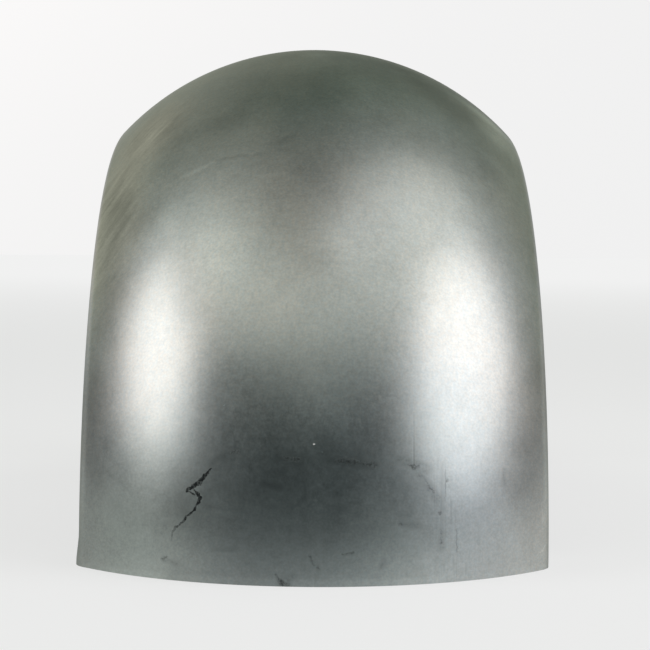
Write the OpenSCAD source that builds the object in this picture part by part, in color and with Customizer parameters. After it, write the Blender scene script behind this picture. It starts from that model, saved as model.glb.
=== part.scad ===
// Wide rear fender for a motorcycle, one raw steel pressing.
// A crowned section with rounded shoulders and flat skirts is swept about the wheel axle.
// Origin on the axle, X across the wheel, +Y towards the front end, +Z up.
// The fender stands as an arch on its two trimmed ends. Millimetres.

/* [Wheel] */
// Radius of the tyre that the fender covers
tyre_r = 328; // [280:1:360]
// Gap between the tread and the inside of the crown
tyre_gap = 12; // [6:1:30]
// Part of a turn that the fender covers, half on each side of straight up
cover_angle = 180; // [120:1:200]

/* [Section] */
// Width over the two skirts
fender_w = 290; // [220:1:345]
// Outer radius of the crown across the width
crown_r = 193; // [160:1:300]
// Outer radius of the shoulders, between crown and skirts
shoulder_r = 19; // [8:0.5:40]
// Height of the flat skirt below each shoulder
skirt_h = 44; // [25:1:90]
// Thickness of the sheet
sheet_t = 2; // [1:0.1:4]

/* [Trim] */
// Radius of the skirt corners at both ends
corner_r = 15.5; // [4:0.5:40]

/* [Hidden] */
$fn = 180;
steel_grey = [0.56, 0.58, 0.56];

// Distance from the axle to the top of the crown
crown_top = tyre_r + tyre_gap + sheet_t;
// Centre of the crown's arc across the width, measured from the axle
crown_centre = crown_top - crown_r;
// Distance between the centres of the crown's arc and of either shoulder's arc
centres_apart = crown_r - shoulder_r;
// Each shoulder's centre, sideways from the middle and outwards from the crown's centre
shoulder_side = fender_w / 2 - shoulder_r;
shoulder_rise = sqrt(pow(centres_apart, 2) - pow(shoulder_side, 2));
// Centre of the right shoulder's arc in the section
shoulder_at = [crown_centre + shoulder_rise, shoulder_side];
// Point beyond the sheet, on the line through the centres of both arcs
beyond = [crown_centre + 2 * shoulder_rise, 2 * shoulder_side];
// Distance from the middle to the inside of either skirt
skirt_inside = fender_w / 2 - sheet_t;
// Distance from the axle to the lower rim of the skirts
rim_r = shoulder_at.x - skirt_h;
// Angle of the front end above the level of the axle
end_angle = 90 - cover_angle / 2;

// Sheet bent all round an arc, with r its outer radius
module ring(centre, r) {
    translate(centre)
        difference() {
            circle(r);
            circle(r - sheet_t);
        }
}

// Section of the pressing: x is the distance from the axle, y is across the wheel.
// Crown and shoulder meet, tangent, on the line through the centres of their arcs,
// and each is cut from its ring by a zone that has this line as an edge.
module section() {
    intersection() {
        ring([crown_centre, 0], crown_r);
        polygon([
            [crown_centre, 0],
            [shoulder_at.x, -shoulder_at.y],
            [beyond.x, -beyond.y],
            [2 * crown_top, -beyond.y],
            [2 * crown_top, beyond.y],
            beyond,
            shoulder_at
        ]);
    }
    for (side = [0, 1])
        mirror([0, side]) {
            intersection() {
                ring(shoulder_at, shoulder_r);
                polygon([shoulder_at, beyond, [shoulder_at.x, beyond.y]]);
            }
            polygon([
                [rim_r, skirt_inside],
                [shoulder_at.x, skirt_inside],
                [shoulder_at.x, fender_w / 2],
                [rim_r, fender_w / 2]
            ]);
        }
}

// Waste outside the rounded skirt corner, for an end that lies along +X from the axle.
// The rounding runs tangent into the end and into the lower rim.
module corner_waste() {
    centre = [sqrt(pow(rim_r + corner_r, 2) - pow(corner_r, 2)), corner_r];
    inside_rim = (rim_r - corner_r) / (rim_r + corner_r);
    difference() {
        polygon([
            centre,
            [centre.x, -corner_r],
            [rim_r - corner_r, -corner_r],
            inside_rim * centre
        ]);
        translate(centre)
            circle(corner_r);
    }
}

// The pressing, trimmed square across both ends, with its skirt corners rounded
module fender() {
    color(steel_grey)
        rotate([90, 0, 90])
            difference() {
                rotate_extrude(angle = cover_angle, start = end_angle)
                    section();
                for (end = [0, 1])
                    mirror([end, 0, 0])
                        rotate(end_angle)
                            linear_extrude(2 * fender_w, center = true)
                                corner_waste();
            }
}

fender();
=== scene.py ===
# %% [markdown]
# # A raw steel rear fender
# The real object is one piece of steel sheet, pressed over a die into the arch that covers a wide
# motorcycle tyre. Across the wheel it has a crowned top, two rounded shoulders and two flat skirts.
# It is sold bare: oiled, handled and scratched, with no paint. The CAD model already has its exact
# form and size, so this lesson loads it as a fixed frame, in metres, and then makes the same sheet
# with a fine mesh, a real thickness and a steel finish.

# %% Load the packed model
from math import atan2, cos, degrees, hypot, pi, radians, sin, sqrt

import bmesh
import bpy
from mathutils import Matrix, Vector


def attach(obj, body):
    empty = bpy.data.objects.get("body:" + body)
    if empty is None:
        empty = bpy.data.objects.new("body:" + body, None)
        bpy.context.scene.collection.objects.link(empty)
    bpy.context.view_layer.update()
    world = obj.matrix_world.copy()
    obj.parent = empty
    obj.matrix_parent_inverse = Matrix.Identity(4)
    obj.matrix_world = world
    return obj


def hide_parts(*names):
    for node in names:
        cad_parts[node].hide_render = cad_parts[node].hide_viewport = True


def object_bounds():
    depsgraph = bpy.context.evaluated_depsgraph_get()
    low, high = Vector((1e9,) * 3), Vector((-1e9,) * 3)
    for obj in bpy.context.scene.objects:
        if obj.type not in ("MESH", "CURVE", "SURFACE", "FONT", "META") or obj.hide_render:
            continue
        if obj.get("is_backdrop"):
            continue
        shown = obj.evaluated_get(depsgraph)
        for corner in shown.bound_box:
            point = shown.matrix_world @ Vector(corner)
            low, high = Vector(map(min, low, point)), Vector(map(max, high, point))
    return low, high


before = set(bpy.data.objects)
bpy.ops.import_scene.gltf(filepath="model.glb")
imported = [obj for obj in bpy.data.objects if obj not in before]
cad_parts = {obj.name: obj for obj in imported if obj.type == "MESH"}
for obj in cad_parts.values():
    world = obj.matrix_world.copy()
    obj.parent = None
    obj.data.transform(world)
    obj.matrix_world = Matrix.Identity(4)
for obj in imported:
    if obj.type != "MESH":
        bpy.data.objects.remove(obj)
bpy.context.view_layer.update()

MM = 0.001

# %% [markdown]
# ## The section
# The section could be traced as a free curve, but a press tool is cut to true arcs, and true arcs
# give clean highlights. So it is drawn as the die maker would: a straight skirt is extruded from
# one point, a spin about the shoulder's centre bends the first shoulder, a spin about the crown's
# centre makes the crown, and the other side follows in the same way. The two arcs share a tangent
# where they meet, at the same angle from their centres.

# %% Sizes of the pressing
WIDTH = 290 * MM          # over the two skirts
CROWN_TOP = 342 * MM      # from the wheel's axle to the top of the crown
CROWN_ARC = 193 * MM      # outer radius across the crown
SHOULDER_ARC = 19 * MM    # outer radius of the shoulders
SKIRT = 44 * MM           # height of the flat skirts
SHEET = 2 * MM            # thickness of the sheet
CORNER = 15.5 * MM        # radius of the four skirt corners

crown_mid = CROWN_TOP - CROWN_ARC
shoulder_x = WIDTH / 2 - SHOULDER_ARC
shoulder_mid = crown_mid + sqrt((CROWN_ARC - SHOULDER_ARC) ** 2 - shoulder_x ** 2)
rim = shoulder_mid - SKIRT
crown_half = atan2(shoulder_x, shoulder_mid - crown_mid)
print(f"crown arc turns {degrees(crown_half):.1f} degrees to each side,",
      f"rim at {rim / MM:.1f} mm from the axle")

# %% Draw the section at the rear end
SKIRT_ROWS, SHOULDER_STEPS, CROWN_STEPS = 8, 8, 56


def skirt(towards):
    """Extrudes the selected point along a skirt, in even rows."""
    for _ in range(SKIRT_ROWS):
        bpy.ops.mesh.extrude_region_move(
            TRANSFORM_OT_translate={"value": (0, towards * SKIRT / SKIRT_ROWS, 0)})


def bend(steps, angle, centre):
    """Spins the selected point about a centre in the plane of the section."""
    bpy.ops.mesh.spin(steps=steps, angle=-angle, center=centre, axis=(0, 0, 1))


bpy.ops.object.select_all(action="DESELECT")
bpy.ops.mesh.primitive_plane_add(size=10 * MM, location=(-WIDTH / 2, -rim, 0))
sheet = bpy.context.object
sheet.name = "fender_sheet"
bpy.ops.object.transform_apply(location=True)
bpy.ops.object.mode_set(mode="EDIT")
bpy.ops.mesh.merge(type="CENTER")
skirt(-1)
bend(SHOULDER_STEPS, pi / 2 - crown_half, (-shoulder_x, -shoulder_mid, 0))
bend(CROWN_STEPS, 2 * crown_half, (0, -crown_mid, 0))
bend(SHOULDER_STEPS, pi / 2 - crown_half, (shoulder_x, -shoulder_mid, 0))
skirt(+1)
section = [v.co.copy() for v in bmesh.from_edit_mesh(sheet.data).verts]
left_most, right_most = min(p.x for p in section), max(p.x for p in section)
print(f"{len(section)} points from {left_most / MM:.2f} to {right_most / MM:.2f} mm across,",
      f"crown at {-min(p.y for p in section) / MM:.2f} mm")

# %% [markdown]
# ## The sweep round the wheel
# The die carries the section round the wheel's axle, so one more spin gives the whole skin: the
# section, lying flat at the rear end, turns half a turn about the axle to the front end. A single
# row of quads for each degree or so keeps the highlights as smooth as a pressing's. After a spin
# the doubles are merged, and the normals are made to point away from the wheel.

# %% Sweep the section
SWEEP_STEPS = 200
WELD = 0.01 * MM          # points closer than this are one point

bpy.ops.mesh.select_all(action="SELECT")
bpy.ops.mesh.spin(steps=SWEEP_STEPS, angle=pi, center=(0, 0, 0), axis=(1, 0, 0))
bpy.ops.mesh.select_all(action="SELECT")
bpy.ops.mesh.remove_doubles(threshold=WELD)
bpy.ops.mesh.normals_make_consistent(inside=False)
skin = bmesh.from_edit_mesh(sheet.data)
crest = max(skin.faces, key=lambda face: face.calc_center_median().z)
if crest.normal.z < 0:
    bpy.ops.mesh.flip_normals()
skin = bmesh.from_edit_mesh(sheet.data)
crest = max(skin.faces, key=lambda face: face.calc_center_median().z)
print(f"{len(skin.faces)} faces, highest point {max(v.co.z for v in skin.verts) / MM:.2f} mm,",
      f"lowest {min(v.co.z for v in skin.verts) / MM:.2f} mm, crest faces {crest.normal.z:+.2f} in Z")

# %% [markdown]
# ## The trimmed corners
# A pressing is trimmed after it is drawn, and its four skirt corners are rounded off so that they
# don't cut the fitter's hands. A boolean with a block and a cylinder would do it, but it leaves
# stray edges. A file works in short straight strokes along the curve, and so does this: the skirt's
# faces near a corner are selected, and a bisect along each tangent of the corner's circle takes off
# what is outside it.

# %% Round the skirt corners
FILE_STROKES = 10
SKIRT_DEPTH = 0.1 * MM    # a face this near the full width lies on a skirt
SPARE = 1 * MM            # how far above the corner's arc faces are still taken

corner_mid = Vector((-sqrt((rim + CORNER) ** 2 - CORNER ** 2), CORNER))      # Y and Z, at the rear end
towards_axle = atan2(-corner_mid.y, -corner_mid.x)


def select_skirt_corner(end):
    """Selects the faces of both skirts that lie at a corner; end is 1 at the rear and -1 at the front."""
    bpy.ops.mesh.select_all(action="DESELECT")
    mesh = bmesh.from_edit_mesh(sheet.data)
    top = CORNER * rim / (rim + CORNER) + SPARE
    for face in mesh.faces:
        c = face.calc_center_median()
        on_skirt = abs(c.x) > WIDTH / 2 - SKIRT_DEPTH
        if on_skirt and corner_mid.x < end * c.y < 0 and c.z < top:
            face.select_set(True)
    mesh.select_flush_mode()
    bmesh.update_edit_mesh(sheet.data)


for end in (1, -1):
    for count in range(FILE_STROKES):
        turn = -pi / 2 + (count + 0.5) / FILE_STROKES * (towards_axle + pi / 2)
        out = Vector((0, end * cos(turn), sin(turn)))
        centre = Vector((0, end * corner_mid.x, corner_mid.y))
        select_skirt_corner(end)
        bpy.ops.mesh.bisect(plane_co=centre + out * CORNER, plane_no=out, clear_outer=True)
bpy.ops.mesh.select_all(action="SELECT")
bpy.ops.mesh.remove_doubles(threshold=2 * WELD)
skin = bmesh.from_edit_mesh(sheet.data)
print(f"after filing: {len(skin.faces)} faces, {sum(e.is_boundary for e in skin.edges)} edges on the outline")
bpy.ops.object.mode_set(mode="OBJECT")

# %% [markdown]
# ## A place for every mark
# Scratches, stains and drawing marks follow the sheet, so the finish needs to know where it is on
# the flat blank. An automatic unwrap would stretch a double curve. Instead each point gets two
# lengths as its UV: how far it is across the sheet from the middle, measured round the arcs, and
# how far it is along the crown from the rear end. Both are in metres, so a mark can be placed with
# a tape measure.

# %% Lay the flat measures on the skin
SHEET_MAP = "across_along"


def across(x, from_axle):
    """Length round the section, from the middle of the crown to a point of it."""
    side = 1 if x > 0 else -1
    lean = atan2(abs(x), from_axle - crown_mid)
    if lean <= crown_half:
        return side * CROWN_ARC * lean
    length = CROWN_ARC * crown_half
    if from_axle >= shoulder_mid:
        lean = atan2(abs(x) - shoulder_x, from_axle - shoulder_mid)
        return side * (length + SHOULDER_ARC * (lean - crown_half))
    return side * (length + SHOULDER_ARC * (pi / 2 - crown_half) + shoulder_mid - from_axle)


measures = []
for vertex in sheet.data.vertices:
    x, y, z = vertex.co
    measures.append((across(x, hypot(y, z)), CROWN_TOP * atan2(max(z, 0), -y)))
while sheet.data.uv_layers:
    sheet.data.uv_layers.remove(sheet.data.uv_layers[0])
flat = sheet.data.uv_layers.new(name=SHEET_MAP)
for loop in sheet.data.loops:
    flat.data[loop.index].uv = measures[loop.vertex_index]
blank = [max(m[0] for m in measures) * 2, max(m[1] for m in measures)]
print(f"flat blank {blank[0] / MM:.0f} mm across, {blank[1] / MM:.0f} mm along")

# %% [markdown]
# ## The knocked corner
# At the rear end the left shoulder has been knocked: its corner springs out by less than 2 mm over
# the last 20 mm. It could be cut into the section, but a knock comes after the pressing and fades
# into it. A move with proportional falloff does what the knock did.

# %% Spring the corner out
KNOCK_OUT, KNOCK_REACH = 1.6 * MM, 20 * MM

bpy.ops.object.mode_set(mode="EDIT")
bpy.ops.mesh.select_all(action="DESELECT")
skin = bmesh.from_edit_mesh(sheet.data)
corner = min(skin.verts, key=lambda v: (v.co - Vector((-WIDTH / 2, -shoulder_mid, 0))).length)
corner.select_set(True)
skin.select_flush_mode()
before = corner.co.copy()
bpy.ops.transform.translate(
    value=(-KNOCK_OUT, 0, 0), use_proportional_edit=True, proportional_edit_falloff="SMOOTH",
    proportional_size=KNOCK_REACH)
skin = bmesh.from_edit_mesh(sheet.data)
moved = min(skin.verts, key=lambda v: (v.co - before - Vector((-KNOCK_OUT, 0, 0))).length)
print("corner now at", [round(c / MM, 2) for c in moved.co],
      "widest point", round(min(v.co.x for v in skin.verts) / MM, 2))
bpy.ops.object.mode_set(mode="OBJECT")

# %% [markdown]
# ## The thickness
# The skin has no thickness yet, and an edge with none looks like paper. Solidify adds the inner
# face 2 mm inside, at an even distance, and closes the outline with a cut edge that gets a finish
# of its own. A small bevel then breaks the sharp edges, as a deburring wheel does, so that they
# catch a line of light.

# %% Give the sheet its thickness
BROKEN_EDGE = 0.25 * MM
INSIDE_ON_TAPE = 5.0       # the inside is measured from 5 m along, where no mark lies

face_finish = bpy.data.materials.new("pressed_face")
edge_finish = bpy.data.materials.new("cut_edge")
sheet.data.materials.append(face_finish)
sheet.data.materials.append(edge_finish)


def apply_modifier(kind, **settings):
    """Adds a modifier to the sheet, sets it and applies it."""
    modifier = sheet.modifiers.new(kind.title(), kind)
    for name, value in settings.items():
        setattr(modifier, name, value)
    bpy.ops.object.modifier_apply(modifier=modifier.name)


outside = len(sheet.data.polygons)
apply_modifier("SOLIDIFY", thickness=SHEET, offset=-1, use_even_offset=True, material_offset_rim=1)
flat = sheet.data.uv_layers[SHEET_MAP]
for face in sheet.data.polygons[outside:2 * outside]:
    for loop in face.loop_indices:
        flat.data[loop].uv.y += INSIDE_ON_TAPE
inner = sum(flat.data[face.loop_indices[0]].uv.y > INSIDE_ON_TAPE / 2 for face in sheet.data.polygons)
print(f"{outside} faces outside, {inner} inside with their own place on the tape")
apply_modifier("BEVEL", width=BROKEN_EDGE, segments=2, limit_method="ANGLE", angle_limit=radians(50))
bpy.ops.object.shade_smooth_by_angle(angle=radians(40))
print(f"{len(sheet.data.polygons)} faces with the inside and the cut edge,",
      f"{sum(p.material_index for p in sheet.data.polygons)} of them on the cut edge")
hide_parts("fender")
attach(sheet, "root")

# %% [markdown]
# ## Node maths in Python
# A finish is a sum of small patterns, and wired by hand they fill a screen. Here a small class
# wraps one output socket, so that plain arithmetic on it adds the Math nodes, and one method of the
# tree adds any other node.

# %% Two small helpers for node trees
MIX_COLOUR = {"factor": 0, "a": 6, "b": 7, "out": 2}      # the colour sockets of a Mix node


class Value:
    """An output socket; arithmetic on it adds Math nodes."""

    def __init__(self, tree, socket):
        self.tree, self.socket = tree, socket

    def maths(self, operation, *numbers):
        """Adds one Math node on some numbers or values."""
        return self.tree.add("ShaderNodeMath", {"operation": operation}, dict(enumerate(numbers)))

    def __add__(self, other):
        return self.maths("ADD", self, other)

    def __radd__(self, other):
        return self.maths("ADD", other, self)

    def __sub__(self, other):
        return self.maths("SUBTRACT", self, other)

    def __rsub__(self, other):
        return self.maths("SUBTRACT", other, self)

    def __mul__(self, other):
        return self.maths("MULTIPLY", self, other)

    def __rmul__(self, other):
        return self.maths("MULTIPLY", other, self)

    def __truediv__(self, other):
        return self.maths("DIVIDE", self, other)

    def __abs__(self):
        return self.maths("ABSOLUTE", self)

    def largest(self, other):
        return self.maths("MAXIMUM", self, other)

    def smallest(self, other):
        return self.maths("MINIMUM", self, other)

    def exp(self):
        return self.maths("EXPONENT", self)

    def rise(self, low, high):
        """0 below low, 1 above high, and a smooth step between them; low may be the larger."""
        return self.tree.add("ShaderNodeMapRange", {"interpolation_type": "SMOOTHSTEP"},
                             {"Value": self, "From Min": low, "From Max": high})


class Tree:
    """A node tree, emptied, with one method that adds a node."""

    def __init__(self, owner):
        owner.use_nodes = True
        self.nodes, self.links = owner.node_tree.nodes, owner.node_tree.links
        self.nodes.clear()

    def add(self, kind, settings=None, sockets=None, out=0):
        """Adds a node, makes its settings first, then fills its sockets with values or links."""
        node = self.nodes.new(kind)
        for name, value in (settings or {}).items():
            setattr(node, name, value)
        for key, value in (sockets or {}).items():
            if isinstance(value, Value):
                self.links.new(value.socket, node.inputs[key])
            else:
                node.inputs[key].default_value = value
        return Value(self, node.outputs[out]) if node.outputs else None

    def mix(self, factor, a, b):
        """Mixes two colours."""
        c = MIX_COLOUR
        sockets = {c["factor"]: factor, c["a"]: a, c["b"]: b}
        return self.add("ShaderNodeMix", {"data_type": "RGBA"}, sockets, c["out"])

    def split(self, vector):
        """The X, Y and Z of a vector."""
        parts = self.add("ShaderNodeSeparateXYZ", None, {"Vector": vector}).socket.node.outputs
        return [Value(self, part) for part in parts]


print(f"two helpers; a Value knows {sum(callable(v) for v in vars(Value).values())} operations")

# %% [markdown]
# ## Bare steel, the ground
# Cold-rolled sheet that has been drawn over a die isn't brushed: it is satin, with grains finer
# than a millimetre, soft clouds where oil and fingers have been, and faint lines along the draw.
# One plain grey metal would look like plastic foil. So noises of four sizes and the draw's lines are
# laid on the flat measures, in millimetres, and each moves the colour by a few hundredths and the
# roughness by less, because the eye reads metal by how evenly it blurs the lamps. Other noises mix
# a cool and a warm grey.

# %% Ground colour of the steel
# The third colour tints the rear band's painted shade
COOL, WARM, DARK_FLOOR_TINT = (0.465, 0.500, 0.495, 1), (0.540, 0.525, 0.480, 1), (0.398, 0.485, 0.486, 1)
BLUISH, GREENISH = (0.400, 0.460, 0.520, 1), (0.435, 0.492, 0.452, 1)
ROUGH = 0.34

steel = Tree(face_finish)
tape = steel.add("ShaderNodeVectorMath", {"operation": "SCALE"},
                 {0: steel.add("ShaderNodeUVMap", {"uv_map": SHEET_MAP}), "Scale": 1 / MM})


def lay(centre, size, turn=0.0):
    """The tape's measures from a place on the sheet, turned and divided by a size in millimetres."""
    return steel.add("ShaderNodeMapping", {"vector_type": "TEXTURE"},
                     {"Vector": tape, "Location": (*centre, 0), "Rotation": (0, 0, radians(turn)),
                      "Scale": (*size, 1)})


def grain(size, turn=0.0, detail=2.0, shift=(0, 0), out=0):
    """A noise of -0.5 to 0.5, with grains of a size in millimetres; its colour where out is 1."""
    sockets = {"Vector": lay(shift, size, turn), "Scale": 1.0, "Detail": detail, "Roughness": 0.55}
    value = steel.add("ShaderNodeTexNoise", {"noise_dimensions": "2D"}, sockets, out)
    return value if out else value - 0.5


def zone(centre, half, soft=0.5):
    """1 in the middle of an oval on the sheet, fading to 0 at its edge."""
    off = steel.add("ShaderNodeVectorMath", {"operation": "SUBTRACT"}, {0: tape, 1: (*centre, 0)})
    off = steel.add("ShaderNodeVectorMath", {"operation": "DIVIDE"}, {0: off, 1: (*half, 1)})
    return steel.add("ShaderNodeVectorMath", {"operation": "LENGTH"}, {0: off}, 1).rise(1.0, 1.0 - soft)


side, along = steel.split(tape)[:2]
fine = grain((1.5, 1.5), detail=3.0)
mottle = grain((4, 4), detail=3.0)
blotch = grain((12, 14), shift=(5, 9), detail=3.0)
cloud = grain((38, 46), shift=(7, 3))
draw_lines = grain((2.4, 120), shift=(3, 0), detail=3.0)
tone = 1.0
for pattern, lighter in ((fine, 0.34), (mottle, 0.26), (blotch, 0.16), (cloud, 0.16), (draw_lines, 0.03)):
    tone = tone + pattern * lighter
warmth = 0.5 + grain((2, 2), shift=(11, 5), detail=3.0) * 2.1 + grain((8, 9), shift=(4, 1), detail=3.0) * 0.4
warmth = warmth + grain((60, 90), shift=(2, 9)) * 0.8
print(f"ground patterns laid with {len(steel.nodes)} nodes")

# %% [markdown]
# ## Marks of handling
# The real sheet carries marks that no noise gives: a jagged black stain where a drop of liquid ran
# and dried, a row of smudges as from a fixture, long fine rubs, and a few specks. Painting them
# needs a picture, and this lesson uses none. They are drawn on the flat measures instead: a stroke
# is its own half width less the distance to a chain of short straight runs, and a noise pushes the
# place a little first, so that its edges look eaten.

# %% Strokes and spots
STAIN = [   # millimetres across, along, half width
    [(-61.5, 69, 0.4), (-65.5, 64.5, 1.1), (-69, 60.5, 1.5), (-73, 58.3, 1.3), (-77, 55.8, 1.0)],
    [(-77, 55.6, 0.4), (-72, 53.2, 0.4)],
    [(-72, 56, 0.5), (-70, 53.6, 1.0), (-68.2, 51.8, 1.1), (-69.2, 48.8, 0.9), (-71, 46.4, 0.5),
     (-71.6, 44.5, 0.7), (-74, 42, 0.6), (-77.4, 39.6, 0.6), (-78.7, 37.7, 0.8), (-82, 34.6, 0.4),
     (-84.6, 32.6, 0.8), (-86, 30.5, 0.5), (-86.6, 27.6, 0.4), (-87.4, 24, 0.1)],
]
STAIN_BLACK = (0.012, 0.014, 0.015, 1)
# Millimetres inside a stroke's edge between which its mark comes up
CRISP, SOFT, BLURRED = (-0.4, 0.3), (-0.9, 0.8), (-2.0, 1.8)


def nudged(size, reach):
    """The tape's measures pushed about by a noise, up to about half of reach millimetres."""
    push = steel.add("ShaderNodeVectorMath", {"operation": "SUBTRACT"},
                     {0: grain((size, size), detail=3.0, out=1), 1: (0.5, 0.5, 0.5)})
    push = steel.add("ShaderNodeVectorMath", {"operation": "MULTIPLY"}, {0: push, 1: (reach, reach, 0)})
    return steel.add("ShaderNodeVectorMath", {"operation": "ADD"}, {0: tape, 1: push})


def stroke(points, place):
    """How far inside the edge of a stroke, in millimetres, and less than 0 outside."""
    inside = None
    for (x0, y0, half0), (x1, y1, half1) in zip(points, points[1:]):
        run = Vector((x1 - x0, y1 - y0, 0))
        gone = steel.add("ShaderNodeVectorMath", {"operation": "SUBTRACT"}, {0: place, 1: (x0, y0, 0)})
        share = steel.add("ShaderNodeVectorMath", {"operation": "DOT_PRODUCT"},
                          {0: gone, 1: run / run.length_squared}, 1)
        share = share.largest(0.0).smallest(1.0)
        foot = steel.add("ShaderNodeVectorMath", {"operation": "SCALE"}, {0: run, "Scale": share})
        off = steel.add("ShaderNodeVectorMath", {"operation": "DISTANCE"}, {0: gone, 1: foot}, 1)
        part = half0 + share * (half1 - half0) - off
        inside = part if inside is None else inside.largest(part)
    return inside


def any_stroke(chains, place):
    """How far inside the nearest of several strokes."""
    inside = None
    for points in chains:
        one = stroke(points, place)
        inside = one if inside is None else inside.largest(one)
    return inside


eaten = nudged(2.6, 2.4)
stain = any_stroke(STAIN, eaten)
thinned = 1 - along.rise(42, 24) * 0.75      # the drop ran out thin at its lower end
stain = stain.rise(*CRISP) * thinned * (1.0 + fine * 1.6)
print(f"stain of {sum(len(p) - 1 for p in STAIN)} runs")

# %% Smudges, rubs and specks
SMEARS = [   # millimetres across, along, half width
    [(13, 73.6, 1.2), (19, 73.4, 2.2), (25.5, 72.2, 1.3)], [(29.5, 71.6, 0.9), (34.5, 71.1, 1.6)],
    [(56.0, 71.8, 0.3), (59.2, 70.6, 1.6), (62.0, 70.8, 0.4)],
    [(66.0, 63, 0.0), (68.2, 60, 0.2), (71.8, 55.1, 0.0)], [(75.2, 43.4, 0.9), (75.6, 42.6, 0.9)],
    [(50.2, 36.8, 0.8), (52.0, 36.2, 0.5)], [(79.7, 69.4, 0.0), (79.4, 59.0, 0.2), (79.0, 50.9, 0.0)],
    [(80.3, 63.6, 0.5), (80.3, 62.6, 0.5)], [(76.4, 31.0, 0.2), (76.6, 23.6, 0.0)],
    [(87.0, 32.6, 0.2), (87.1, 18.7, 0.2)], [(16.4, 19.0, 0.3), (22.8, 19.9, 0.4)],
    [(-2.6, 17.8, 0.3), (0.0, 12.6, 0.1)], [(2.0, 11.5, 0.6), (2.6, 10.7, 0.6)],
    [(-18.5, 75.5, 0.9), (-9.5, 73.2, 1.6)], [(-22.5, 7.0, 0.2), (-19, 2.2, 1.3), (-16.0, 0.6, 0.9)],
    [(-16, 1.4, 0.8), (-13.6, 0.8, 0.5)], [(-92.6, 13.0, 0.9), (-90.2, 14.6, 0.3)],
    [(-52.0, 77.0, 0.4), (-46.0, 79.0, 1.3)],
]
FILMS = [
    [(9, 73.6, 1.6), (21, 72.8, 2.4), (36, 71.2, 1.8)], [(50, 75, 2.0), (67, 70, 3.4)],
    [(60, 70, 1.6), (74, 52, 3.0)], [(77.5, 74, 0.2), (77, 52, 0.6), (77.5, 34, 0.0)],
    [(52, 36.4, 1.2), (62, 35.4, 1.8)], [(-30, 60, 1.0), (-21, 57.5, 2.0)],
    [(-60, 20.3, 0.6), (-48, 21.2, 1.1)], [(77, 33, 1.4), (77, 22, 2.4)],
    [(121.8, 71.6, 1.2), (121.7, 63.5, 1.8)], [(39.0, 11.0, 1.2), (41.5, 15.4, 0.8)],
    [(-61, 72, 0.8), (-57.5, 75, 1.6), (-50, 77.8, 1.8), (-44.5, 79.2, 1.3)],
    [(-22, 76, 1.6), (-9, 73, 2.4)], [(-18, 2, 3.0), (-12, 6, 1.5)], [(-92, 13, 1.6), (-83, 10.5, 1.4)],
]
SMUDGE = [(13.0, 72.8, 1.0), (18.5, 72.6, 1.8), (25.5, 71.8, 0.8), (35.0, 71.2, 1.2)]
DUST = [[(4.2, 78.4, 0.3), (4.5, 78.0, 0.3)], [(-54.5, 107, 0.3), (-54, 107.4, 0.3)]]
SPECK_WHITE = (0.75, 0.75, 0.72, 1)

dark = any_stroke(SMEARS, eaten).rise(*SOFT) * (0.95 + mottle * 1.5 + fine * 2.6).largest(0.0)
faint = any_stroke(FILMS, nudged(4, 3)).rise(*BLURRED) * (0.7 + fine * 3.0 + mottle * 2.0)
smudge = stroke(SMUDGE, eaten).rise(-1.2, 1.4) * (0.9 + fine * 2.0)
specks = stroke([(-0.7, 82.8, 0.45), (-0.3, 82.8, 0.45)], tape).rise(-0.15, 0.15)
dust = any_stroke(DUST, tape).rise(-0.2, 0.2)

# A long rub that ends in the spot of the fixture, with a bright burr beside it
rub = stroke([(59.2, 104, 0.15), (59.2, 72, 0.35)], tape).rise(*CRISP)
burr = stroke([(58.2, 88, 0.1), (58.2, 73, 0.3)], tape).rise(*CRISP)
# Rubs down the right side, fine and close together
right_rubs = grain((0.9, 42), shift=(5, 60)).rise(0.06, 0.26) * zone((79, 48), (15, 52), soft=0.8)
low_rubs = grain((0.8, 30), shift=(9, 20)).rise(0.10, 0.26) * zone((96, 12), (30, 26), soft=0.8)
right_rubs = right_rubs + low_rubs
# A scratch in the middle and two scuffs at the right edge; below the crest a graze, pale and then dark
SCRATCHES = [
    [(21, 208.4, 0.1), (28, 209.2, 0.25), (31, 210.4, 0.1)],
    [(155, 50, 0.1), (156.6, 37, 0.4), (156, 31, 0.1)], [(162, 20, 0.2), (156, 15, 0.5), (151, 12, 0.2)],
]
scratches = any_stroke(SCRATCHES, eaten).rise(-0.5, 0.4)
graze = nudged(7, 3)
pale_graze = stroke([(-90, 288.6, 0.3), (-78.7, 289.8, 2.4), (-67.5, 293.4, 0.8)], graze).rise(-2.4, 2.0)
dark_graze = stroke([(-65.5, 294.6, 0.6), (-52.3, 293.0, 1.2), (-41.3, 291.3, 1.3), (-33.1, 291, 0.6)], graze)
graze_end = stroke([(-26, 299, 2.0), (-15, 308, 2.0)], graze).rise(-4.0, 3.0)
dark_graze = dark_graze.rise(*BLURRED).largest(graze_end)
print(f"{len(SMEARS)} smears, {len(FILMS)} films, {len(SCRATCHES)} scratches:",
      f"{len(steel.nodes)} nodes so far")
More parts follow.
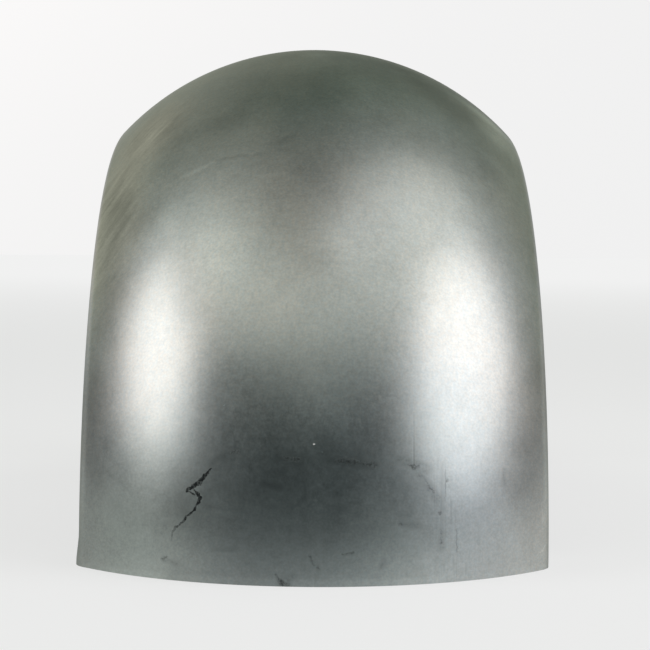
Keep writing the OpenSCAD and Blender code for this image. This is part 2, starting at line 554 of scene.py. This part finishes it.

# %% [markdown]
# ## Bare steel, put together
# The marks don't sit on the metal as paint does: a dried stain is an oxide that no longer mirrors,
# a rub is metal with its grain flattened one way, and handling leaves a film that dulls it. So a
# stain makes the colour black and the surface rough, smears and slides shift both a little, and
# rubs and films only shade. The left shoulder was slid over something, which left long pale rubs,
# and the rear end is painted darker and cooler: a painted shade, for the reflection of a darker
# floor. Each cloud is placed where the photo is lighter or darker than the plain sheet under these
# lamps, so some clouds are painted light and shade and not steel.

# %% Clouds of painted light and shade, slides and the rear band's painted shade
# Soft patches of painted light and shade, some of them handling marks
PAINTED_LIGHT_AND_HANDLING = [   # millimetres across, along, half sizes, how much lighter
    (-100, 350, 26, 60, -0.12), (-75, 290, 40, 60, -0.12), (-120, 330, 26, 90, 0.14),
    (-140, 200, 18, 54, -0.16), (-100, 250, 20, 32, 0.16), (-58, 212, 38, 48, 0.14),
    (60, 378, 58, 62, 0.24), (0, 422, 52, 40, 0.16), (140, 410, 34, 52, 0.5), (102, 262, 28, 55, 0.13),
    (6, 104, 52, 34, 0.26), (-108, 58, 30, 26, 0.12), (122, 40, 28, 36, 0.14), (18, 216, 28, 40, 0.09),
    (-82, 188, 24, 50, -0.16), (30, 60, 40, 34, 0.22), (80, 418, 26, 38, -0.18),
    (-132, 18, 50, 52, -0.26), (-142, 285, 20, 52, -0.14), (-160, 135, 24, 72, -0.26),
    (132, 440, 44, 26, 0.75), (0, 454, 18, 22, 0.2), (62, 452, 24, 18, -0.18), (102, 394, 30, 32, -0.16),
    (20, 92, 20, 28, 0.16), (26, 386, 26, 36, 0.16), (40, 128, 44, 24, 0.08), (10, 0, 44, 18, 0.1),
    (-84, 2, 18, 13, -0.14), (160, 140, 20, 50, -0.16),
    (-122, 240, 26, 28, 0.14), (-160, 228, 14, 30, 0.14), (28, 350, 24, 26, 0.12), (142, 120, 18, 30, 0.12),
    (-62, 338, 32, 24, -0.12), (120, 325, 18, 24, -0.16), (0, 200, 18, 20, -0.12),
]

clouds = 1.0
# Painted light and shade: each patch makes the sheet lighter or darker
for x, y, half_x, half_y, lighter in PAINTED_LIGHT_AND_HANDLING:
    clouds = zone((x, y), (half_x, half_y), soft=1.0) * lighter + clouds
# Painted shade: the rims darken round the shoulders, and the rear band fades along and to both sides
left_rim_shade = (0 - side).rise(128, 158) * along.rise(170, 90)
right_rim_shade = side.rise(122, 160) * along.rise(45, 85) * along.rise(350, 280)
# Painted shade of the rear band, for the reflection of a darker floor in front
dark_floor_shade = along.rise(84, 22) * abs(side + 20).rise(110, 14)
slid = zone((-146, 290), (42, 126), soft=1.0).largest(zone((-120, 374), (50, 72), soft=1.0))
slides = slid * (grain((6, 26), turn=-50, shift=(21, 3), detail=3.0) * 0.45
                 + grain((11, 54), turn=-43, shift=(3, 8), detail=3.0) * 0.85 + 0.06)
print(f"{len(PAINTED_LIGHT_AND_HANDLING)} clouds")

# %% Colour of the pressed face
TINTS = [   # centre, half sizes, how much, colour
    # The first tint is the cool colour of the rear band's painted shade
    ((-6, 48), (168, 130), 0.85, DARK_FLOOR_TINT), ((100, 36), (62, 84), 0.3, BLUISH),
    ((-122, 24), (90, 100), 0.8, GREENISH),
]

shade = tone * clouds + slides
for mark, lighter in ((right_rubs, -0.14), (rub, -0.24), (burr, 0.14), (scratches, 0.16),
                      (pale_graze, 0.16), (dark_graze, -0.11), (dust, 0.4)):
    shade = shade + mark * lighter
# Painted shade among these: the rear band and the two rims
for mark, darker in ((dark, 0.42), (faint, 0.25), (smudge, 0.30), (dark_floor_shade, 0.52),
                     (left_rim_shade, 0.24), (right_rim_shade, 0.14)):
    shade = shade * (1 - mark * darker)
ground = steel.mix((warmth + slid * 0.9).largest(0.0).smallest(1.0), COOL, WARM)
for centre, half, much, colour in TINTS:
    ground = steel.mix(zone(centre, half, soft=1.0) * much, ground, colour)
ground = steel.add("ShaderNodeVectorMath", {"operation": "SCALE"}, {0: ground, "Scale": shade})
ground = steel.mix(stain * 0.96, ground, STAIN_BLACK)
ground = steel.mix(specks, ground, SPECK_WHITE)
print(f"{len(TINTS)} tints, colour made with {len(steel.nodes)} nodes")

# %% Roughness and height of the pressed face
OFF_METAL_TINT, OFF_METAL_SHINE = (0.5, 0.52, 0.5, 1), 0.2      # where a mark hides the metal

roughness = ROUGH
for mark, rougher in ((cloud, 0.05), (mottle, 0.05), (fine, 0.03), (slides, 0.04), (stain, 0.25),
                      (dark, 0.10), (specks, 0.4)):
    roughness = roughness + mark * rougher
metal = 1 - (stain * 0.85).largest(specks)

# Heights in millimetres: the grain of the sheet, the draw's slow waves and the bite of the stain
height = fine * 0.006 + mottle * 0.008 + grain((55, 75), shift=(41, 13), detail=1.0) * 0.12 - stain * 0.02
relief = steel.add("ShaderNodeBump", None, {"Strength": 1.0, "Distance": MM, "Height": height})
surface = steel.add("ShaderNodeBsdfPrincipled", None,
                    {"Base Color": ground, "Metallic": metal, "Roughness": roughness, "Normal": relief,
                     "Specular Tint": OFF_METAL_TINT, "Specular IOR Level": OFF_METAL_SHINE})
steel.add("ShaderNodeOutputMaterial", None, {"Surface": surface})
print(f"pressed face: {len(steel.nodes)} nodes")

# %% [markdown]
# ## The cut edge
# Shears leave an edge of their own: brighter than the face, because it was cut last, and torn a
# little. A second material on those faces alone, with a fine broken grain, tells the eye that this
# is a sheet and how thick it is.

# %% Cut edge
EDGE_STEEL, EDGE_ROUGH = (0.58, 0.58, 0.56), 0.42
GRAINS_PER_M, CLOUDS_PER_M = 900.0, 60.0
TEAR_DEPTH = 0.05 * MM

edge = Tree(edge_finish)
cut_place = edge.add("ShaderNodeTexCoord", out=3)
cut_grain = edge.add("ShaderNodeTexNoise", None,
                     {"Vector": cut_place, "Scale": GRAINS_PER_M, "Detail": 2.0}) - 0.5
cut_cloud = edge.add("ShaderNodeTexNoise", None,
                     {"Vector": cut_place, "Scale": CLOUDS_PER_M, "Detail": 1.0}) - 0.5
cut_colour = edge.add("ShaderNodeVectorMath", {"operation": "SCALE"},
                      {0: EDGE_STEEL, "Scale": 1 + cut_grain * 0.5 + cut_cloud * 0.4})
cut_relief = edge.add("ShaderNodeBump", None,
                      {"Strength": 1.0, "Distance": TEAR_DEPTH, "Height": cut_grain})
surface = edge.add("ShaderNodeBsdfPrincipled", None,
                   {"Base Color": cut_colour, "Metallic": 1.0, "Roughness": EDGE_ROUGH + cut_grain * 0.2,
                    "Normal": cut_relief})
edge.add("ShaderNodeOutputMaterial", None, {"Surface": surface})
print(f"cut edge: {len(edge.nodes)} nodes")

# %% [markdown]
# ## The floor
# The fender stands on a wide sheet of pale paper, as in a small studio. A curved paper sweep would
# hide the horizon, but it would also show in the metal as one more bend of light, so the sheet lies
# flat and is made as pale as the wall behind it. It is partly lit from within, by the rays that
# meet it, which keeps it even from near to far, and the rest of it is matt and keeps the fender's
# soft shadow. From a little in front of the fender, towards the camera, the paper fades to grey:
# there the metal mirrors a darker floor, and that is part of the dark middle of the fender.

# %% Floor
PALE, GREY = (0.90, 0.90, 0.90, 1), (0.30, 0.30, 0.30, 1)
SHEET_FRONT, SHEET_FADE = -0.52, 0.7              # metres, in Y
PAPER_HALF, PAPER_FADE, SPREAD = 2.4, 1.2, 0.4    # metres, in X, and how it widens with Y
GLOW_NEAR, GLOW_FAR, FAR = 0.66, 0.885, 9.0       # at the fender, and so many metres behind it
GLOW = 0.95

bpy.ops.object.select_all(action="DESELECT")
bpy.ops.mesh.primitive_plane_add(size=40)
floor = bpy.context.object
floor.name = "studio_floor"
floor.data.materials.append(bpy.data.materials.new("studio_paper"))
paper = Tree(floor.data.materials[0])
place = paper.split(paper.add("ShaderNodeTexCoord", out=3))
on_paper = place[1].rise(SHEET_FRONT - SHEET_FADE, SHEET_FRONT)
on_paper = on_paper * (abs(place[0]) - SPREAD * place[1]).rise(PAPER_HALF + PAPER_FADE, PAPER_HALF)
near = place[1].rise(FAR, 0.0)
matt = paper.add("ShaderNodeBsdfDiffuse", None, {"Color": paper.mix(on_paper, GREY, PALE)})
lit = paper.add("ShaderNodeEmission", None, {"Color": (1, 1, 1, 1), "Strength": GLOW})
rays = paper.add("ShaderNodeLightPath").socket.node.outputs
seen = Value(paper, rays["Is Camera Ray"])
for kind in ("Is Glossy Ray", "Is Transmission Ray"):
    seen = seen.largest(Value(paper, rays[kind]))
share = seen * on_paper * (GLOW_FAR + (GLOW_NEAR - GLOW_FAR) * near)
ground_look = paper.add("ShaderNodeMixShader", None, {0: share, 1: matt, 2: lit})
paper.add("ShaderNodeOutputMaterial", None, {"Surface": ground_look})
floor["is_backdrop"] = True
print(f"floor {floor.dimensions.x:.0f} m wide, paper from {SHEET_FRONT} m in Y, {len(paper.nodes)} nodes")

# %% [markdown]
# ## The lamps
# The photo's two long highlights tell where its lamps were: a soft box at each side, turned so that
# it stands beside the arch. A single lamp over the camera would give one band across the crown. So
# two large oval lamps stand left and right, and a weaker one high on the right fills the top. Their
# places and strengths were fitted to the photo, with each lamp rendered alone. All keep one
# distance, and brightness is given per area, so a lamp can be resized and looks the same in the
# metal.

# %% Lamps
AIM = Vector((0, 0, 0.17))      # about half way up the fender
LAMP_DISTANCE = 1.7


def soft_lamp(name, azimuth, elevation, roll, width, height, brightness, colour=(1, 1, 1)):
    """An area lamp that faces the fender; azimuth 0 is at the camera and positive to the right."""
    a, e, r = radians(azimuth), radians(elevation), radians(roll)
    away = Vector((cos(e) * sin(a), -cos(e) * cos(a), sin(e)))
    right = Vector((0, 0, 1)).cross(away).normalized()
    up = away.cross(right)
    turned = right * cos(r) + up * sin(r), up * cos(r) - right * sin(r)
    lamp = bpy.data.lights.new(name, "AREA")
    lamp.shape, lamp.size, lamp.size_y = "ELLIPSE", width, height
    lamp.energy = brightness * pi * (pi / 4 * width * height)
    lamp.color = colour
    body = bpy.data.objects.new(name, lamp)
    bpy.context.collection.objects.link(body)
    facing = Matrix((turned[0], turned[1], away)).transposed().to_4x4()
    body.matrix_world = Matrix.Translation(AIM + away * LAMP_DISTANCE) @ facing
    print(f"{name}: {lamp.energy:.1f} W")


# Azimuth, elevation and roll in degrees, width and height in metres, brightness, colour
soft_lamp("left_lamp", -65.8, 24.3, -49.0, 1.29, 0.80, 2.54, (1.0, 0.975, 0.985))
soft_lamp("right_lamp", 62.0, 24.0, 41.0, 1.69, 1.10, 2.25, (0.975, 0.96, 0.995))
soft_lamp("high_lamp", 63.0, 65.5, -13.0, 1.68, 0.64, 0.62, (1.0, 0.98, 0.98))

# %% [markdown]
# ## The room
# Bare steel shows the room more than itself, so the room is built as light alone. Behind the fender
# is the pale wall, lower down as bright as the paper and greenish grey above. Beside and behind the
# camera it is dark, with a pale band overhead where the wall meets the ceiling. Three soft patches
# stand for a window and two reflectors. A picture of a room would do this too, but then nobody
# could move a patch to see what it does.

# %% The room
# Parts of a direction that is one long: SIDE away from the camera, the others upwards
SIDE, SIDE_FADE = 0.275, 0.3
WALL_FOOT, WALL_TOP = (0.24, 0.15), (0.2, 0.8)
BAND_AT, BAND_HALF = 0.793, 0.150

room = bpy.data.worlds.new("studio_room")
bpy.context.scene.world = room
air = Tree(room)
look = air.add("ShaderNodeTexCoord", out=0)
d = air.split(look)
front = (0 - d[1]).rise(-SIDE - SIDE_FADE, -SIDE + SIDE_FADE)
low = d[2].rise(*WALL_FOOT)
top = d[2].rise(BAND_AT, 1.0)
ridge = (d[2] - BAND_AT) / BAND_HALF
band = (ridge * ridge * -1).exp()
steep = d[2].rise(*WALL_TOP)


def patch(azimuth, elevation, spread):
    """A soft round patch of the room, 1 in its middle, placed as the lamps are."""
    a, e = radians(azimuth), radians(elevation)
    facing = air.add("ShaderNodeVectorMath", {"operation": "DOT_PRODUCT"},
                     {0: look, 1: (cos(e) * sin(a), -cos(e) * cos(a), sin(e))}, 1)
    return ((facing - 1) * (2 / radians(spread) ** 2)).exp()


# A darker place in the wall, a little to the right behind the fender
gap = 1 - 0.4 * patch(171, 17, 13)
zones = {
    "wall_low": ((1 - front) * low, (0.87, 0.87, 0.87)),
    "wall_mid": ((1 - front) * (1 - low) * (1 - steep) * gap, (0.47, 0.515, 0.42)),
    "wall_high": ((1 - front) * steep * gap, (0.070, 0.112, 0.082)),
    "dark_side": (front * (1 - top), (0.002, 0.006, 0.009)),
    "overhead": (front * top, (0.002, 0.004, 0.003)),
    "band": (front * band, (0.88, 0.91, 0.86)),
    "left_cloud": (patch(-57, 57, 20), (0.18, 0.175, 0.145)),
    "right_back": (patch(121, 41, 18), (0.185, 0.175, 0.19)),
    "left_back": (patch(-155, 26, 20), (0.37, 0.325, 0.305)),
}
glow = None
for mask, colour in zones.values():
    part = air.add("ShaderNodeVectorMath", {"operation": "SCALE"}, {0: colour, "Scale": mask})
    glow = part if glow is None else air.add("ShaderNodeVectorMath", {"operation": "ADD"}, {0: glow, 1: part})
backdrop = air.add("ShaderNodeBackground", None, {"Color": glow, "Strength": 1.0})
air.add("ShaderNodeOutputWorld", None, {"Surface": backdrop})
print(f"{len(zones)} parts of the room: {', '.join(zones)}")

# %% [markdown]
# ## The camera
# The photo was taken a little above level from behind, about a metre and a half away: the crest
# stands 8 degrees above the line of sight, and the two skirts turn out of view. The place, the
# small turns and the lens are those that bring the fender's outline onto the photo's. A longer lens
# from farther off would show more of the skirts.

# %% Camera
CAMERA_AT = -0.0027, -1.4050, 0.2010
CAMERA_TURN = 87.355, -0.409, -0.413
LENS = 102.54

camera = bpy.data.objects.new("camera", bpy.data.cameras.new("camera"))
bpy.context.collection.objects.link(camera)
camera.location = CAMERA_AT
camera.rotation_euler = [radians(turn) for turn in CAMERA_TURN]
camera.data.lens = LENS
bpy.context.scene.camera = camera
bpy.context.scene.view_settings.view_transform = "Standard"
print(f"camera {(camera.location - AIM).length:.2f} m from the fender's middle, lens {LENS} mm")

# %% [markdown]
# ## The last look at the sizes
# The finished sheet has to lie in the box that the CAD model states, or it would no longer fit its
# neighbours. The sheet's box is printed. Only the knocked corner may stand out, by its millimetre
# and a half.

# %% Sizes of the finished sheet
low, high_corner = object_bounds()
print("visual box from", [round(v, 4) for v in low], "to", [round(v, 4) for v in high_corner])
